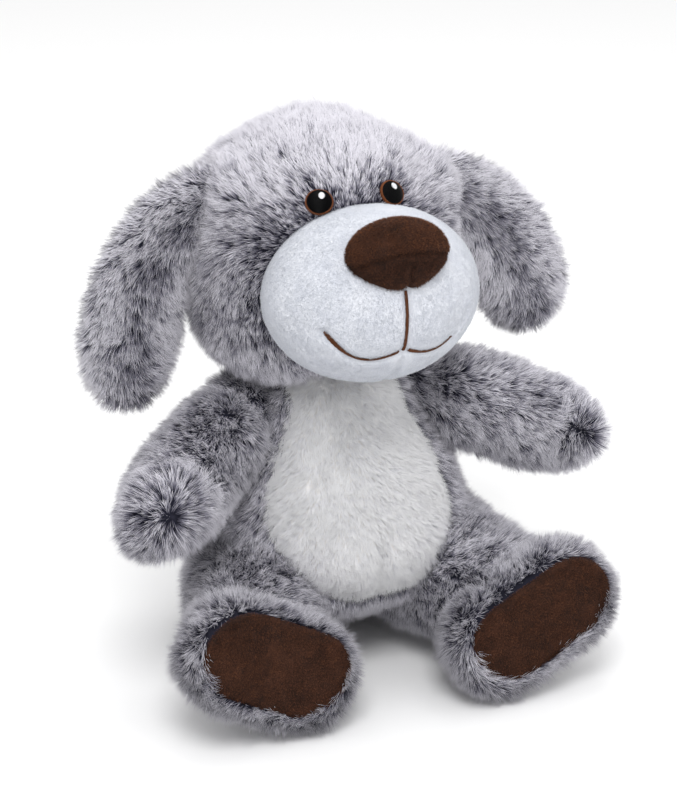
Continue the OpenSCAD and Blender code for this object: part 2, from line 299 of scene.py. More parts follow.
def pile(name, skin, material, seed, nap, per_mm2=3.0, length=10 * MM, width=0.42 * MM,
         lean=34, bend=24, tuft=2.6 * MM, gather=0.45, keep=None, swirl=22, wild=12, shade=0.0,
         sink=1.0 * MM):
    """Strands of pile on a skin. nap gives the way they lie, and lean how far, in degrees from upright.

    A strand is a three-sided spike, so it shows an outer face from every side. Its UV is (its shade, the way
    from root to tip), and its shading normals follow the cloth that it grows from.
    """
    rng = np.random.default_rng(seed)
    p, n = skin.scatter(per_mm2, rng)
    if keep is not None:
        chosen = keep(p)
        p, n = p[chosen], n[chosen]
    count = len(p)
    tuft_centre, cell = nearest_tuft(p, tuft, seed)
    lock_cell = nearest_tuft(p, 3.1 * tuft, seed + 5)[1]
    tuft_turn, tuft_lean, tuft_long, tuft_shade = (hashed(cell, seed + 11 + k) - 0.5 for k in range(4))
    lock_turn, lock_lean, lock_shade = (hashed(lock_cell, seed + 21 + k) - 0.5 for k in range(3))
    along = nap(p, n)
    along = unit(along - (along * n).sum(axis=1)[:, None] * n)
    across = np.cross(n, along)
    turn = np.radians(swirl * smooth_noise(p, 22 * MM, seed + 3) + 44 * tuft_turn + 40 * lock_turn
                      + rng.normal(0, wild, count))
    along = np.cos(turn)[:, None] * along + np.sin(turn)[:, None] * across
    tilt = at(lean, p) + 14 * smooth_noise(p, 15 * MM, seed + 4) + 16 * tuft_lean + 20 * lock_lean
    tilt = np.radians(np.clip(tilt + rng.normal(0, 7, count), 2, 78))
    long = at(length, p) * (1 + 0.25 * tuft_long) * rng.uniform(0.72, 1.08, count)
    root_dir = np.cos(tilt)[:, None] * n + np.sin(tilt)[:, None] * along
    tilt = np.minimum(tilt + math.radians(bend), math.radians(86))
    tip_dir = np.cos(tilt)[:, None] * n + np.sin(tilt)[:, None] * along
    pull = tuft_centre - p
    pull = pull - (pull * n).sum(axis=1)[:, None] * n
    root = p - sink * n
    mid = p + 0.5 * long[:, None] * root_dir + 0.35 * gather * pull
    tip = mid + 0.5 * long[:, None] * tip_dir + 0.65 * gather * pull
    way = unit(tip - root)
    side = unit(np.cross(way, n))
    out = np.cross(side, way)
    roll = rng.uniform(0, 2 * math.pi, count)[:, None]
    half = width / 2 * rng.uniform(0.7, 1.2, count)[:, None]
    turns = [roll + k * THIRD_TURN for k in range(3)]
    ring = [np.cos(a) * side + np.sin(a) * out for a in turns]
    verts = np.stack([root + half * r for r in ring] + [tip], axis=1)
    verts[..., 2] = np.maximum(verts[..., 2], 0.4 * MM)
    normals = np.stack([unit(n * 0.75 + r * 0.45) for r in ring] + [unit(n * 0.75 + way * 0.25)], axis=1)
    faces = np.array([[1, 0, 3], [2, 1, 3], [0, 2, 3]])
    tris = (np.arange(count)[:, None, None] * 4 + faces).reshape(-1, 3)
    tone = 0.5 + at(shade, p) + 0.3 * tuft_shade + 0.3 * lock_shade + rng.normal(0, 0.1, count)
    uv = np.zeros((count, 4, 2))
    uv[..., 0] = np.clip(tone, 0.02, 0.98)[:, None]
    uv[..., 1] = (0.01, 0.01, 0.01, 0.99)
    print(f"{name}: {count} strands")
    return mesh_object(name, verts.reshape(-1, 3), (), tris, material,
                       uv.reshape(-1, 2), normals.reshape(-1, 3))


def threads(name, lines, radius, material, sides=6):
    """Rounded threads along lines, an array of (thread, point, xyz)."""
    count, steps = lines.shape[:2]
    along = unit(np.gradient(lines, axis=1))
    side = unit(np.cross(along, along + np.array([0.31, 0.52, 0.79])))
    out = np.cross(along, side)
    a = np.linspace(0, 2 * math.pi, sides, endpoint=False)
    taper = np.full(steps, 1.0)
    taper[[0, -1]] = 0.35
    ring = np.cos(a)[:, None] * side[:, :, None] + np.sin(a)[:, None] * out[:, :, None]
    verts = lines[:, :, None] + radius * taper[:, None, None] * ring
    i, j = (x.ravel() for x in np.meshgrid(np.arange(steps - 1), np.arange(sides), indexing="ij"))
    k = (j + 1) % sides
    one = np.stack([i * sides + j, i * sides + k, (i + 1) * sides + k, (i + 1) * sides + j], axis=1)
    quads = (np.arange(count)[:, None, None] * steps * sides + one).reshape(-1, 4)
    return mesh_object(name, verts.reshape(-1, 3), quads, (), material)


# ---------------------------------------------------------------- materials
def linear(code):
    """An sRGB colour such as 'c8c8d0', as linear light."""
    c = [int(code[i:i + 2], 16) / 255 for i in (0, 2, 4)]
    return [x / 12.92 if x <= 0.04045 else ((x + 0.055) / 1.055) ** 2.4 for x in c] + [1]


class Nodes:
    """A short way to build a material's node tree."""

    def __init__(self, name, roughness=0.9, specular=0.25):
        self.material = bpy.data.materials.new(name)
        self.material.use_nodes = True
        self.tree = self.material.node_tree
        self.shader = self.tree.nodes["Principled BSDF"]
        self.shader.inputs["Roughness"].default_value = roughness
        self.shader.inputs["Specular IOR Level"].default_value = specular

    def add(self, kind, **values):
        node = self.tree.nodes.new(kind)
        for key, value in values.items():
            if key in node.inputs:
                node.inputs[key].default_value = value
            else:
                setattr(node, key, value)
        return node

    def link(self, a, b):
        self.tree.links.new(a, b)

    def feed(self, socket, value):
        if isinstance(value, bpy.types.NodeSocket):
            self.link(value, socket)
        else:
            socket.default_value = value

    def ramp(self, source, stops):
        node = self.add("ShaderNodeValToRGB")
        elements = node.color_ramp.elements
        while len(elements) < len(stops):
            elements.new(0.5)
        for element, (place, colour) in zip(elements, stops):
            element.position = place
            element.color = colour
        self.link(source, node.inputs["Fac"])
        return node.outputs["Color"]

    def mix(self, factor, a, b):
        node = self.add("ShaderNodeMix", data_type="RGBA")
        self.feed(node.inputs["Factor"], factor)
        self.feed(node.inputs[6], a)
        self.feed(node.inputs[7], b)
        return node.outputs[2]

    def maths(self, operation, a, b=0.0):
        node = self.add("ShaderNodeMath", operation=operation)
        self.feed(node.inputs[0], a)
        self.feed(node.inputs[1], b)
        return node.outputs[0]

    def noise(self, scale, detail=2.0, distortion=0.0):
        place = self.add("ShaderNodeTexCoord").outputs["Object"]
        node = self.add("ShaderNodeTexNoise", Scale=scale, Detail=detail, Distortion=distortion)
        self.link(place, node.inputs["Vector"])
        return node.outputs["Fac"]

    def bump(self, height, distance, strength=1.0):
        node = self.add("ShaderNodeBump", Distance=distance, Strength=strength)
        self.link(height, node.inputs["Height"])
        self.link(node.outputs["Normal"], self.shader.inputs["Normal"])


def pile_material(name, root, body, tip, start, end, spread=0.25):
    """Pile that goes from its root colour to its tip colour; each strand's shade moves the change."""
    m = Nodes(name, roughness=0.85)
    uv = m.add("ShaderNodeUVMap", uv_map="OFBake")
    split = m.add("ShaderNodeSeparateXYZ")
    m.link(uv.outputs["UV"], split.inputs[0])
    shift = m.maths("MULTIPLY", m.maths("SUBTRACT", split.outputs["X"], 0.5), 2 * spread)
    moved = m.maths("ADD", split.outputs["Y"], shift)
    colour = m.ramp(moved, [(start, root), ((start + end) / 2, body), (end, tip)])
    m.link(colour, m.shader.inputs["Base Color"])
    return m.material


def backing_material(name, colour, other, scale=900):
    m = Nodes(name, roughness=0.95)
    weave = m.noise(scale, 3)
    m.link(m.mix(weave, colour, other), m.shader.inputs["Base Color"])
    m.bump(weave, 0.4 * MM, 0.6)
    return m.material


def plush_material(name, dark, light, scale, depth):
    """Short plush: brushed patches of painted sheen over a fine grain."""
    m = Nodes(name, roughness=0.85)
    brushed_sheen = m.noise(110, 3, 0.6)
    grain = m.noise(scale, 2)
    sheen_and_grain = m.maths("ADD", m.maths("MULTIPLY", brushed_sheen, 0.55), m.maths("MULTIPLY", grain, 0.45))
    m.link(m.ramp(sheen_and_grain, [(0.36, dark), (0.64, light)]), m.shader.inputs["Base Color"])
    m.bump(sheen_and_grain, depth)
    return m.material


def thread_material(name, dark, light, roughness=0.5, specular=0.2):
    m = Nodes(name, roughness=roughness, specular=specular)
    twist = m.noise(2600, 2)
    m.link(m.mix(twist, dark, light), m.shader.inputs["Base Color"])
    return m.material


GREY_PILE = pile_material("grey_pile", linear("1a1a29"), linear("7b7988"), linear("e6e4ec"), 0.2, 0.76, 0.32)
GREY_BACKING = backing_material("grey_backing", linear("1a1a26"), linear("2a2a37"))
WHITE_PILE = pile_material("white_pile", linear("e0e1e6"), linear("f0f0f3"), linear("fcfcfd"), 0.05, 0.75)
WHITE_BACKING = backing_material("white_backing", linear("e4e2e0"), linear("efedeb"))
MUZZLE_PLUSH = plush_material("muzzle_plush", linear("c3c6cf"), linear("d6d8de"), 1400, 0.5 * MM)
MUZZLE_FUZZ = pile_material("muzzle_fuzz", linear("b6bac6"), linear("ccd0d9"), linear("e2e5eb"), 0.0, 0.9)
BROWN_PLUSH = plush_material("brown_plush", linear("1c0d07"), linear("472818"), 1500, 0.5 * MM)
BROWN_FUZZ = pile_material("brown_fuzz", linear("160a05"), linear("3a1f13"), linear("75492f"), 0.15, 1.0)
BROWN_THREAD = thread_material("brown_thread", linear("381b0b"), linear("653819"))
COPPER_THREAD = thread_material("copper_thread", linear("532c14"), linear("8a5230"))
BLACK_THREAD = thread_material("black_thread", linear("020202"), linear("070709"), 0.3, 0.06)
WHITE_THREAD = thread_material("white_thread", linear("c9c9cc"), linear("f4f4f6"), 0.4)
FILLING = backing_material("loose_filling", linear("e6e3da"), linear("f2f0ea"), 400)

# ---------------------------------------------------------------- torso: a leaning pear with a flat seat
LEAN = math.radians(5)
BELLY_Z = 0.31 * TORSO_TOP                      # height of the widest part
BELLY_DROP = 0.74 * BELLY_R                     # half-height of the pear's lower end
COLLAR_R = 0.46 * BELLY_R
PEAR_TOP = TORSO_TOP + 14 * MM
CROTCH_Y = 14 * MM                              # in front of here the cloth under the belly slopes up
CROTCH_SLOPE = math.radians(31)
HIP_DRAW_IN = 5 * MM                            # how far the hips lie inside the frame's pear
BACK_Y = 8 * MM                                 # where the torso's front pile meets its back pile
TUMMY_MID_W = corners("tummy_panel")[1][0]
TUMMY_TOP_W = 0.56 * TUMMY_MID_W
TUMMY_MID_Z = 0.62 * TORSO_TOP
TUMMY_LOW_Z = corners("tummy_panel")[0][2]


def pear_radius(z):
    """Radius of the pear at a height, drawn in a little at the hips under the pile."""
    low = BELLY_R * np.sqrt(np.maximum(1 - ((BELLY_Z - z) / BELLY_DROP) ** 2, 0))
    high = COLLAR_R + (BELLY_R - COLLAR_R) * np.cos(np.pi / 2 * (z - BELLY_Z) / (PEAR_TOP - BELLY_Z))
    return np.where(z < BELLY_Z, low, high) - HIP_DRAW_IN * smoothstep(-z, -80 * MM, -30 * MM)


def tummy_half_width(z):
    upper = np.cos(np.pi / 2 * np.clip((z - TUMMY_MID_Z) / (PEAR_TOP - TUMMY_MID_Z), 0, 1)) ** 2
    upper = TUMMY_TOP_W + (TUMMY_MID_W - TUMMY_TOP_W) * upper
    lower = TUMMY_MID_W * np.sqrt(np.clip(1 - ((TUMMY_MID_Z - z) / (TUMMY_MID_Z - TUMMY_LOW_Z)) ** 2, 0, 1))
    return np.where(z > TUMMY_MID_Z, upper, lower)


def tummy_edge(p):
    """How far a point is inside the tummy panel's edge, in metres across the belly."""
    inside = tummy_half_width(p[:, 2]) - np.abs(p[:, 0])
    return np.where((p[:, 1] < 0) & (p[:, 2] > TUMMY_LOW_Z), np.minimum(inside, p[:, 2] - TUMMY_LOW_Z), -1)


def on_tummy(p):
    wander = 1.2 * MM * smooth_noise(p, 7 * MM, 71)
    return tummy_edge(p) + wander > 0


def torso_field(p):
    """Distance field of the pear, with its flat seat and the slope under the belly.

    It has no top: above PEAR_TOP the collar goes on as a column, which ends at cast's reach,
    inside the head.
    """
    z = p[:, 2]
    across = np.hypot(p[:, 0], p[:, 1] - z * math.tan(LEAN))
    wall = (across - pear_radius(np.clip(z, -10 * MM, PEAR_TOP)) + PILE_DEPTH) * 0.85
    wall = union(wall, egg(p, NECK - 6 * MM * UP, (40 * MM, 40 * MM, 20 * MM)), 10 * MM)
    under = (CROTCH_Y - p[:, 1]) * math.sin(CROTCH_SLOPE) - z * math.cos(CROTCH_SLOPE) + 1.5 * MM
    f = both(wall, under, 22 * MM)
    f = f + dent(tummy_edge(p), 3 * MM, 1.6 * MM)
    fold = rod(p, (0, -66 * MM, TUMMY_LOW_Z), (2 * MM, -72 * MM, TUMMY_LOW_Z + 22 * MM), 0)
    f = f + dent(fold, 10 * MM, 7 * MM) * np.exp(-(p[:, 0] / (3.5 * MM)) ** 2)
    return np.maximum(f, 1.5 * MM - z)


torso_skin = star(torso_field, np.array([0, 8 * MM, 60 * MM]), 120, 180)


def torso_nap(p, n):
    """Torso pile lies downwards and a little outwards."""
    d = np.tile([0.0, 0.1, -1.0], (len(p), 1))
    d[:, 0] = p[:, 0] * 6
    return d


# ---------------------------------------------------------------- head
SKULL_W = 66 * MM                               # half the width of the skull's cloth
FACE = unit(MUZZLE - SKULL + 20 * MM * UP)
EAR_ROOTS = {s: pivot(f"ear_{side}_flap") for side, s in SIDES.items()}


def head_field(p):
    f = egg(p, SKULL, (SKULL_W, SKULL_R, SKULL_R - 1.5 * MM))
    for s in (-1, 1):
        f = union(f, egg(p, SKULL + (s * 34 * MM, -18 * MM, -26 * MM), (29 * MM, 31 * MM, 30 * MM)), 20 * MM)
        root = EAR_ROOTS[s] + (-9 * MM * s, -5 * MM, -16 * MM)
        f = union(f, egg(p, root, (17 * MM, 22 * MM, 17 * MM)), 12 * MM)
        dart = rod(p, SKULL + (s * 45 * MM, -10 * MM, 52 * MM), SKULL + (s * 42 * MM, -34 * MM, 42 * MM), 0)
        f = f + dent(dart, 5 * MM, 3 * MM)
    return f


head_skin = star(head_field, SKULL)


def muzzle_shape(p, grow):
    """Distance field of the muzzle's plain egg, grown by grow metres."""
    return egg(p, MUZZLE, (MUZZLE_W + grow, MUZZLE_R + grow, MUZZLE_R + grow))


def head_nap(p, n):
    """Head pile is combed up and back from the face on top, and down towards the chin below."""
    up_and_back = unit(p - (SKULL + FACE * 75 * MM)) + (0, 0.1, 0)
    down = np.tile([0.0, -0.35, -1.0], (len(p), 1))
    down[:, 0] = -p[:, 0] * 5
    w = smoothstep(p[:, 2] - SKULL[2], -12 * MM, 26 * MM)[:, None]
    return w * up_and_back + (1 - w) * unit(down)


def head_lean(p):
    border = muzzle_shape(p, 0)
    crown = smoothstep(p[:, 2] - SKULL[2], 20 * MM, 60 * MM)
    return 18 + 22 * smoothstep(border, 3 * MM, 16 * MM) + 16 * crown


EYE_CLEAR = 5.6 * MM                            # no pile grows nearer than this to an eye's middle


def eye_centre(side):
    return middle(f"eye_pupil_{side}")


def from_eye(p, side):
    """Distance from the ray that runs from the skull's middle out through an eye."""
    line = unit(eye_centre(side) - SKULL)
    q = p - SKULL
    return np.linalg.norm(q - np.maximum(q @ line, 0)[:, None] * line, axis=1)


def head_length(p):
    long = 6.5 + 3.5 * smoothstep(muzzle_shape(p, 0), 1 * MM, 18 * MM)
    for side in SIDES:
        long = long * (0.62 + 0.38 * smoothstep(from_eye(p, side), 6 * MM, 14 * MM))
    return long * MM


# ---------------------------------------------------------------- muzzle, nose and mouth
MOUTH_TOP, MOUTH_LOW = -19, 24                  # ends of the mouth line, in degrees below forward
SMILE_START, SMILE_W = 2.8 * MM, 36 * MM


def muzzle_direction(x, angle):
    """From the muzzle's middle to the place at x across and an angle below forward."""
    a = np.radians(angle)
    r = MUZZLE_R * np.sqrt(1 - (x / MUZZLE_W) ** 2)
    return unit(np.stack([x * np.ones_like(a), -r * np.cos(a), -r * np.sin(a)], axis=-1))


def smile_direction(t, s):
    d = muzzle_direction(SMILE_START + SMILE_W * t, MOUTH_LOW + 22 * t - 37 * t**3)
    return d * (s, 1, 1)


smile_line = np.vstack([smile_direction(np.linspace(0, 1, 24), s) for s in (-1, 1)])
mouth_line = muzzle_direction(0.0, np.linspace(MOUTH_TOP, MOUTH_LOW, 24))


def muzzle_field(p):
    f = muzzle_shape(p, -1.6 * MM)
    d = unit(p - MUZZLE)
    for line, width, depth in ((mouth_line, 2.2 * MM, 1.9 * MM), (smile_line, 2.4 * MM, 1.5 * MM)):
        nearest = np.full(len(p), 1.0)
        for stitch in line:
            nearest = np.minimum(nearest, ((d - stitch) ** 2).sum(axis=1))
        f = f + dent(np.sqrt(nearest) * MUZZLE_R, width, depth)
    below = smoothstep(-p[:, 2] + MUZZLE[2], 14 * MM, 24 * MM)
    f = f + dent(p[:, 0], 1.8 * MM, 1.6 * MM) * below
    crease = rod(p, MUZZLE + (26 * MM, -38 * MM, -15 * MM), MUZZLE + (35 * MM, -35 * MM, 3 * MM), 0)
    return f + dent(crease, 4 * MM, 1.2 * MM)


NOSE_FUZZ = 1.0 * MM                            # how far the nose's cloth lies inside the frame's solid
DART_X = 0.5 * MM                               # of the dart down the front of the nose


def nose_seam(p):
    """Height above the curved seam across the upper front of the nose."""
    q = p - NOSE
    return q[:, 2] - (5 - 8 * (q[:, 0] / NOSE_W) ** 2) * MM


def nose_hollow(p):
    return egg(p, NOSE + (-1 * MM, -18 * MM, -1 * MM), (17 * MM, 6 * MM, 6 * MM))


def nose_field(p):
    q = p - NOSE
    f = egg(p, NOSE, (NOSE_W - NOSE_FUZZ, NOSE_R - NOSE_FUZZ, NOSE_R - NOSE_FUZZ))
    taper = smoothstep(-q[:, 2], -2 * MM, 18 * MM)
    f = f + taper * 3 * MM * smoothstep(np.abs(q[:, 0]), 6 * MM, 22 * MM)
    f = f + dent(nose_seam(p), 1.9 * MM, 1.4 * MM) * smoothstep(-q[:, 1], 2 * MM, 8 * MM)
    f = f + 2 * MM * smoothstep(-nose_hollow(p), -3 * MM, 5 * MM)
    return f + dent(q[:, 0] - DART_X, 1.5 * MM, 1.3 * MM) * smoothstep(-q[:, 2], -1 * MM, 3 * MM)


def nose_painted_light_and_shade(p):
    """Painted light on top of the seam, and painted shade along the seam, the dart and in the hollow."""
    q = p - NOSE
    shade = 0.35 * smoothstep(nose_seam(p), 0, 4 * MM) - 0.1
    shade -= 0.6 * smoothstep(-nose_hollow(p), -2 * MM, 4 * MM)
    shade -= 0.3 * np.exp(-(nose_seam(p) / (1.5 * MM)) ** 2)
    dart = np.exp(-((q[:, 0] - DART_X) / (1.1 * MM)) ** 2)
    return shade - 0.5 * dart * smoothstep(-q[:, 2], -1 * MM, 3 * MM)


muzzle_skin = star(muzzle_field, MUZZLE, 150, 220, pole=(1, 0, 0))
nose_skin = star(nose_field, NOSE, 100, 150, pole=(1, 0, 0))


def away_from(point):
    return lambda p, n: p - point


def along_nap(direction):
    return lambda p, n: np.tile(unit(direction), (len(p), 1))


# ---------------------------------------------------------------- limbs
PAW_R = 19 * MM                                 # of the frame's arm, at the round end of its paw
ARM_R = 20.8 * MM
SOLE_R = 21 * MM                                # of the sole's two round ends
FOOT_R = 25.5 * MM
THIGH_R = 31 * MM
THIGH_FROM_HIP = (-17 * MM, 8 * MM, -38 * MM)   # from the hip's pivot to the thigh's middle, on the left


def mirrored(v, s):
    return np.asarray(v) * np.array([s, 1, 1])


def whole_box(*nodes):
    """The box round several nodes."""
    lows, highs = zip(*(corners(n) for n in nodes))
    return np.min(lows, axis=0), np.max(highs, axis=0)


def arm_line(side):
    """The shoulder's middle, the arm's direction and its length.

    The paw's round end touches the far corner of the box round the frame's arm.
    """
    s = SIDES[side]
    low, high = whole_box(f"arm_upper_{side}", f"arm_lower_{side}")
    corner = np.array([high[0] if s > 0 else low[0], low[1], low[2]])
    start = pivot(f"arm_{side}_lift")
    reach = corner + PAW_R * np.array([-s, 1, 1]) - start
    return start, unit(reach), np.linalg.norm(reach) + PAW_R


def arm_skin(side):
    start, d, arm_length = arm_line(side)
    t = (1 - np.cos(np.linspace(0, math.pi, 70))) / 2
    back, front = -15 * MM, arm_length - 4 * MM
    along = back + (front - back) * t
    r = 16 * MM + (ARM_R - 16 * MM) * np.sin(np.pi / 2 * np.clip(along / (22 * MM), 0, 1)) ** 2
    tip = 42 * MM
    r = r * np.sqrt(np.clip(1 - (np.maximum(0, along - front + tip) / tip) ** 2, 0, 1))
    r = r * np.sqrt(np.clip(1 - (np.maximum(0, -along) / -back) ** 2, 0, 1))
    up = unit(np.cross(d, np.cross(UP, d)))
    centres = start + along[:, None] * d
    ones = np.ones((len(t), 1))
    return swept(centres, r * 1.06, r * 0.98, ones * up, ones * np.cross(d, up))


PAW_SWIRL = {"left": 0.9, "right": 0.75}        # where the paw's swirl is, as a share of the arm's length


def arm_nap(side):
    """Arm pile lies along the arm, and bursts outwards from a swirl on the front of the paw."""
    start, d, arm_length = arm_line(side)
    swirl = start + PAW_SWIRL[side] * arm_length * d + (0, -14 * MM, 4 * MM)

    def nap(p, n):
        out = p - swirl
        w = np.exp(-((out**2).sum(axis=1)) / (24 * MM) ** 2)[:, None]
        return w * unit(out) * 1.6 + (1 - w) * d
    return nap, swirl


def foot_places(side):
    """The middles of the sole's face and of the foot, and the way from there to the outer end of the oval."""
    low, high = corners(f"foot_pad_{side}")
    sole = (low + high) / 2
    sole[1] = low[1]
    half = (high - low) / 2
    out = mirrored((half[0] - SOLE_R, 0, half[2] - SOLE_R), SIDES[side])
    foot = sole + (0, 17 * MM, -5.3 * MM)
    return sole, foot, out


def thigh_middle(side):
    return pivot(f"leg_{side}_lift") + mirrored(THIGH_FROM_HIP, SIDES[side])


def leg_skin(side):
    sole, foot, out = foot_places(side)
    thigh = thigh_middle(side)
    ends = [foot + k * out for k in (-1, 1)]
    ankle = foot + (0, 16 * MM, 0)

    def field(p):
        shank = union(rod(p, thigh, ankle - 0.5 * out, THIGH_R, 21 * MM),
                      rod(p, thigh, ankle + 0.5 * out, THIGH_R, 21 * MM), 10 * MM)
        f = union(shank, rod(p, ends[0], ends[1], FOOT_R), 7 * MM)
        return both(f, sole[1] + 3 * MM - p[:, 1], 4 * MM)
    return star(field, (foot + thigh) / 2, 110, 150, pole=(0, -1, 0))


def sole_skin(side):
    """The padded oval patch under the foot."""
    sole, _, out = foot_places(side)
    ends = [sole + (0, 4 * MM, 0) + k * out for k in (-1, 1)]

    def field(p):
        q = (p - sole) * (1, 2.4, 1) + sole
        disc = rod(q, ends[0], ends[1], SOLE_R + 1 * MM)
        return both(disc, sole[1] + 1.2 * MM - p[:, 1], 3 * MM)
    return star(field, sole + (0, 6 * MM, 0), 70, 140, pole=(0, -1, 0))


EAR_LOBE = 23 * MM                              # from the middle line at an ear's tip to its outer edge
EAR_DROP = {"left": 0.34, "right": 0.24}        # how directly an ear falls: 0 goes out level before the bend


def ear_curve(side, steps=80):
    """The middle line of an ear, from inside the head to its tip, on one bend within the ear's box."""
    s = SIDES[side]
    low, high = whole_box(f"ear_front_{side}", f"ear_back_{side}")
    root = pivot(f"ear_{side}_flap") - (6 * MM * s, 0, 13 * MM)
    outer = high[0] if s > 0 else -low[0]
    drop = EAR_DROP[side]
    bend = np.array([outer - drop * (outer - abs(root[0])), 0, high[2] - drop * (high[2] - low[2])])
    tip = np.array([outer - EAR_LOBE, 0, low[2] + 6 * MM])
    root, bend, tip = (np.array([s * abs(v[0]), (low[1] + high[1]) / 2, v[2]]) for v in (root, bend, tip))
    t = np.linspace(0, 1, steps)[:, None]
    return t[:, 0], (1 - t) ** 2 * root + 2 * t * (1 - t) * bend + t**2 * tip


def ear_skin(side):
    """A flat padded paddle."""
    t, centres = ear_curve(side)
    half = np.interp(t, [0, 0.12, 0.3, 0.6, 0.8, 1], [13, 17.5, 20.5, 22.5, 22.5, 21]) * MM
    half *= np.sqrt(np.clip(1 - ((t - 0.78).clip(0) / 0.22) ** 2, 0, 1))
    thick = np.interp(t, [0, 0.12, 0.6, 1], [4, 5.5, 5, 5]) * MM
    thick *= np.sqrt(np.clip(1 - ((t - 0.88).clip(0) / 0.12) ** 2, 0, 1))
    half[0] = thick[0] = 0
    along = unit(np.gradient(centres, axis=0))
    across = unit(np.cross(along, (0, 1, 0)))
    return swept(centres, half, thick, across, np.cross(across, along), 64)


def ear_nap(side):
    """Ear pile parts along the middle and lies down and outwards to both edges."""
    _, centres = ear_curve(side)
    along = unit(np.gradient(centres, axis=0))

    def nap(p, n):
        d = ((p[:, None, [0, 2]] - centres[None, :, [0, 2]]) ** 2).sum(axis=2)
        nearest = d.argmin(axis=1)
        out = p - centres[nearest]
        out[:, 1] = 0
        far = np.linalg.norm(out, axis=1)[:, None] / (12 * MM)
        return along[nearest] + 1.1 * unit(out) * np.clip(far, 0, 1)
    return nap


def ear_shade(side):
    """Dark where the pile parts along the middle, pale towards the edges."""
    _, centres = ear_curve(side)

    def shade(p):
        d = ((p[:, None, [0, 2]] - centres[None, :, [0, 2]]) ** 2).sum(axis=2)
        return 0.42 * smoothstep(np.sqrt(d.min(axis=1)), 1 * MM, 15 * MM) - 0.2
    return shade


TAIL_WAY = unit((0, 0.9, 0.43))


def tail_skin():
    """A plain stub that points backwards and up; the photo doesn't show the tail."""
    t = (1 - np.cos(np.linspace(0, math.pi, 40))) / 2
    along = (-16 + 54 * t) * MM
    r = 8 * MM * np.sqrt(np.clip(1 - ((t - 0.5) / 0.5) ** 2, 0, 1)) ** 0.6
    side = np.array([1.0, 0, 0])
    ones = np.ones((len(t), 1))
    centres = TAIL + along[:, None] * TAIL_WAY
    return swept(centres, r, r, ones * side, ones * np.cross(TAIL_WAY, side), 40)


# ---------------------------------------------------------------- building the pieces
def place(obj, body, slot, *nodes, fill=None):
    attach(obj, body)
    if nodes:
        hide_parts(*nodes)
    return obj


def head_painted_light_and_shade(p):
    """Painted light on the crown, and painted shade round the eyes and along the muzzle's edge."""
    shade = 0.36 * smoothstep(p[:, 2] - SKULL[2], 10 * MM, 58 * MM) - 0.08
    shade -= 0.14 * (1 - smoothstep(muzzle_shape(p, 0), 2 * MM, 12 * MM))
    for side in SIDES:
        shade -= 0.16 * (1 - smoothstep(from_eye(p, side), 8 * MM, 17 * MM))
    return shade


def build_torso():
    skin = torso_skin.object("torso_backing", GREY_BACKING)
    skin.data.materials.append(WHITE_BACKING)
    for polygon in skin.data.polygons:
        if tummy_edge(np.array([polygon.center]))[0] > 0:
            polygon.material_index = 1
    sides = ("torso_side_left", "torso_side_right", "back_panel_left", "back_panel_right")
    place(skin, "torso", "grey_fur", "torso_stuffing", "seat_panel", *sides, fill=0.9)
    for number, (name, test) in enumerate((
        ("torso_pile_front_left", lambda p: (p[:, 0] >= 0) & (p[:, 1] < BACK_Y)),
        ("torso_pile_front_right", lambda p: (p[:, 0] < 0) & (p[:, 1] < BACK_Y)),
        ("torso_pile_back_left", lambda p: (p[:, 0] >= 0) & (p[:, 1] >= BACK_Y)),
        ("torso_pile_back_right", lambda p: (p[:, 0] < 0) & (p[:, 1] >= BACK_Y)),
    )):
        keep = lambda p, test=test: test(p) & ~on_tummy(p) & (p[:, 2] > 2 * MM)
        fur = pile(name, torso_skin, GREY_PILE, 101 + 10 * number, torso_nap, keep=keep, lean=38)
        place(fur, "torso", "grey_fur")
    tummy = pile("tummy_pile", torso_skin, WHITE_PILE, 171, torso_nap, per_mm2=4.5, length=7.5 * MM,
                 width=0.4 * MM, keep=on_tummy, tuft=2.8 * MM, lean=44)
    place(tummy, "torso", "tummy_plush", "tummy_panel")
    neck = star(lambda p: egg(p, NECK, (19 * MM, 19 * MM, 19 * MM)), NECK, 24, 32)
    place(neck.object("neck_filling", FILLING), "neck", "filling", "neck_stuffing", fill=0.9)


def build_head():
    skin = head_skin.object("head_backing", GREY_BACKING)
    nodes = ("head_stuffing", "head_gusset", "head_side_left", "head_side_right", "nape_panel", "chin_panel")
    place(skin, "head", "grey_fur", *nodes, fill=0.95)

    def clear_of_face(p):
        clear = muzzle_shape(p, -2.5 * MM) > 0
        for side in SIDES:
            clear &= from_eye(p, side) > EYE_CLEAR
        return clear

    for number, (name, s) in enumerate((("head_pile_left", 1), ("head_pile_right", -1))):
        keep = lambda p, s=s: (p[:, 0] * s >= 0) & clear_of_face(p)
        fur = pile(name, head_skin, GREY_PILE, 201 + 10 * number, head_nap, keep=keep, length=head_length,
                   lean=head_lean, shade=head_painted_light_and_shade)
        place(fur, "head", "grey_fur")


